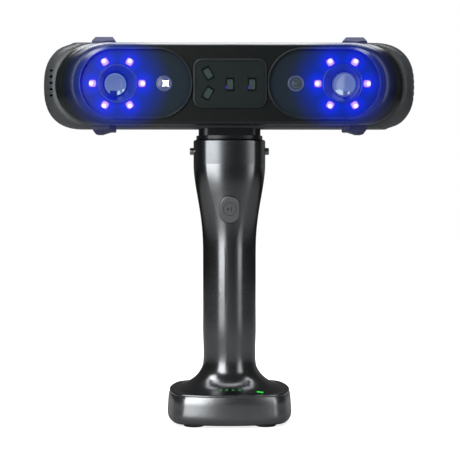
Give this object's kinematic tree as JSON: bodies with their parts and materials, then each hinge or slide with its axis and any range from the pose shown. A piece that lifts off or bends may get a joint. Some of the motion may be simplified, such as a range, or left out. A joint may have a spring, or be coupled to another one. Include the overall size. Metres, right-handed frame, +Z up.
{
  "type": "handheld 3d scanner",
  "caption": "Cordless handheld 3D scanner: wide optical head with two toed-in lit cameras and a laser panel, on an upright battery grip with a flared foot.",
  "frame": {"origin": "on the table, under the middle of the foot", "axes": "+Z up; -Y the way the cameras look; +X to the right seen from the front"},
  "size_m": [0.2216, 0.0682, 0.2283],
  "materials": {
    "shell_black": "smooth moulded black",
    "shell_grey": "fine textured dark grey",
    "gasket": "matte black",
    "bumper_rubber": "matte dark blue grey",
    "bezel": "satin dark grey",
    "window_plate": "smooth dark slate",
    "barrel": "black anodised",
    "glass": "coated lens glass",
    "board": "green solder mask",
    "led": "lit, white hot with a blue halo",
    "fill_disc": "pale grey",
    "camera_black": "pale grey ring",
    "panel": "satin green grey",
    "frame_black": "matte black",
    "laser_glass": "tinted filter glass",
    "brass": "machined",
    "alloy": "milled",
    "steel": "zinc plated",
    "heatsink": "black anodised fins",
    "ribbon": "amber flexible circuit",
    "fan_plastic": "moulded black",
    "collar_metal": "satin gunmetal",
    "spigot": "satin dark grey",
    "contact_plastic": "moulded black",
    "grip": "satin graphite",
    "button": "satin graphite",
    "spring_steel": "spring wire",
    "cell": "blue sleeve",
    "cradle": "moulded black",
    "cable": "black sleeve",
    "base": "satin graphite",
    "foot_rubber": "matte black",
    "pipe_dim": "frosted, dim green",
    "pipe_lit": "frosted, lit green"
  },
  "bodies": {
    "scanner": {"base_board": "board", "base_feet": "foot_rubber", "base_plate": "base", "base_screws": "steel", "base_tray": "base", "battery_cells": "cell", "bumpers": "bumper_rubber", "button_board": "board", "button_dome": "spring_steel", "camera_glasses": "glass", "camera_leds": "led", "camera_ribbons": "ribbon", "cell_contacts": "spring_steel", "cell_cradle": "cradle", "center_face": "panel", "center_panel": "panel", "charge_light_pipes": "pipe_dim", "collar": "collar_metal", "colour_camera_body": "camera_black", "colour_camera_glass": "glass", "contact_block": "contact_plastic", "contact_pins": "brass", "fan_frame": "fan_plastic", "fill_light_disc": "fill_disc", "fill_light_led": "led", "front_screws": "steel", "front_shell": "shell_black", "grip_front_half": "grip", "grip_rear_half": "grip", "grip_screws": "steel", "handle_cable": "cable", "heatsink": "heatsink", "laser_bracket": "alloy", "laser_frames": "frame_black", "laser_glasses": "laser_glass", "laser_modules": "brass", "led_boards": "board", "left_bezel": "bezel", "left_camera_barrel": "barrel", "left_release_spring": "spring_steel", "left_window_plate": "window_plate", "main_board": "board", "neck_spigot": "spigot", "optical_frame": "alloy", "rear_screws": "steel", "rear_shell": "shell_grey", "right_bezel": "bezel", "right_camera_barrel": "barrel", "right_release_spring": "spring_steel", "right_window_plate": "window_plate", "sensor_boards": "board", "shell_gasket": "gasket", "usb_socket": "steel", "wifi_light_pipe": "pipe_lit"},
    "scan_button": {"scan_button": "button"},
    "power_button": {"power_button": "button"},
    "left_release_pin": {"left_release_pin": "steel"},
    "right_release_pin": {"right_release_pin": "steel"},
    "fan_rotor": {"fan_rotor": "fan_plastic"}
  },
  "joints": [
    {"name": "scan_button_press", "type": "slide", "parent": "scanner", "child": "scan_button", "axis": [0, 0.9961, 0.0877], "range_m": [0, 0.0008], "stiffness_N_per_m": 1500, "deforming": ["button_dome"]},
    {"name": "power_button_press", "type": "slide", "parent": "scanner", "child": "power_button", "axis": [0, -1, 0], "range_m": [0, 0.0005], "stiffness_N_per_m": 1500},
    {"name": "left_release_press", "type": "slide", "parent": "scanner", "child": "left_release_pin", "axis": [1, 0, 0], "range_m": [0, 0.0022], "stiffness_N_per_m": 900, "deforming": ["left_release_spring"]},
    {"name": "right_release_press", "type": "slide", "parent": "scanner", "child": "right_release_pin", "axis": [-1, 0, 0], "range_m": [0, 0.0022], "stiffness_N_per_m": 900, "deforming": ["right_release_spring"]},
    {"name": "fan_spin", "type": "hinge", "parent": "scanner", "child": "fan_rotor", "pos_m": [0.0925, 0.0033, 0.1997], "axis": [1, 0, 0], "continuous": true}
  ]
}
